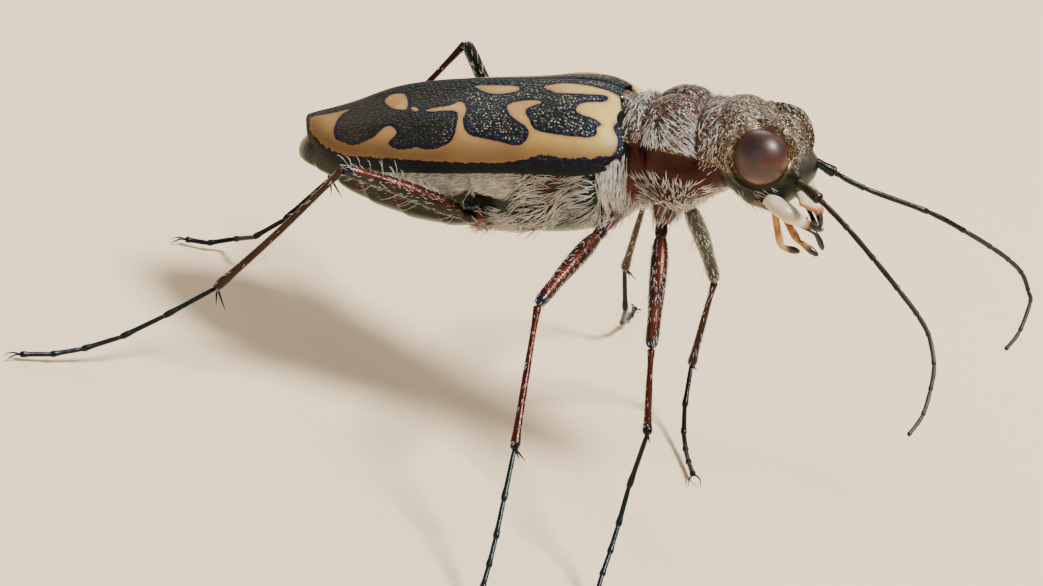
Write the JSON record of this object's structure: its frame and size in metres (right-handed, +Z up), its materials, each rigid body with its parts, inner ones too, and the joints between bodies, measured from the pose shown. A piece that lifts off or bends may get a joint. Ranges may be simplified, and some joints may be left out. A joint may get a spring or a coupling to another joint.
{
  "type": "tiger beetle model",
  "caption": "Life-size still model of a tiger beetle standing on six long legs, with patterned wing cases, large eyes, sickle jaws and bent feelers.",
  "frame": {"origin": "the middle of the part's box, on the floor under the feet", "axes": "+X towards the head's end, +Y to the beetle's left, +Z up from the floor"},
  "size_m": [0.0238, 0.0212, 0.0114],
  "materials": {
    "copper_cuticle": "granular copper and green cuticle",
    "eye": "glossy dark red-brown",
    "ivory": "smooth ivory horn",
    "amber": "smooth amber horn",
    "feeler": "dull brown, with a metallic base",
    "haired_underside": "white hair over red-brown and green cuticle",
    "wing_case": "tan with dark blue-edged patches, finely pitted",
    "leg": "coppery red-brown with white bristles",
    "foot": "dark metallic green and blue"
  },
  "bodies": {
    "root": {"head": "copper_cuticle", "eye_left": "eye", "eye_right": "eye", "labrum": "ivory", "mandible_left": "ivory", "mandible_right": "ivory", "maxillary_palp_left": "amber", "maxillary_palp_right": "amber", "labial_palp_left": "amber", "labial_palp_right": "amber", "antenna_left_base": "feeler", "antenna_left_middle": "feeler", "antenna_left_tip": "feeler", "antenna_right_base": "feeler", "antenna_right_middle": "feeler", "antenna_right_tip": "feeler", "prothorax": "copper_cuticle", "pterothorax": "haired_underside", "scutellum": "copper_cuticle", "elytron_left": "wing_case", "elytron_right": "wing_case", "abdomen": "haired_underside", "front_coxa_left": "haired_underside", "front_coxa_right": "haired_underside", "middle_coxa_left": "haired_underside", "middle_coxa_right": "haired_underside", "hind_coxa_left": "haired_underside", "hind_coxa_right": "haired_underside", "front_femur_left": "leg", "front_femur_right": "leg", "middle_femur_left": "leg", "middle_femur_right": "leg", "hind_femur_left": "leg", "hind_femur_right": "leg", "front_tibia_left": "leg", "front_tibia_right": "leg", "middle_tibia_left": "leg", "middle_tibia_right": "leg", "hind_tibia_left": "leg", "hind_tibia_right": "leg", "front_tarsus_left": "foot", "front_tarsus_right": "foot", "middle_tarsus_left": "foot", "middle_tarsus_right": "foot", "hind_tarsus_left": "foot", "hind_tarsus_right": "foot"}
  },
  "joints": []
}
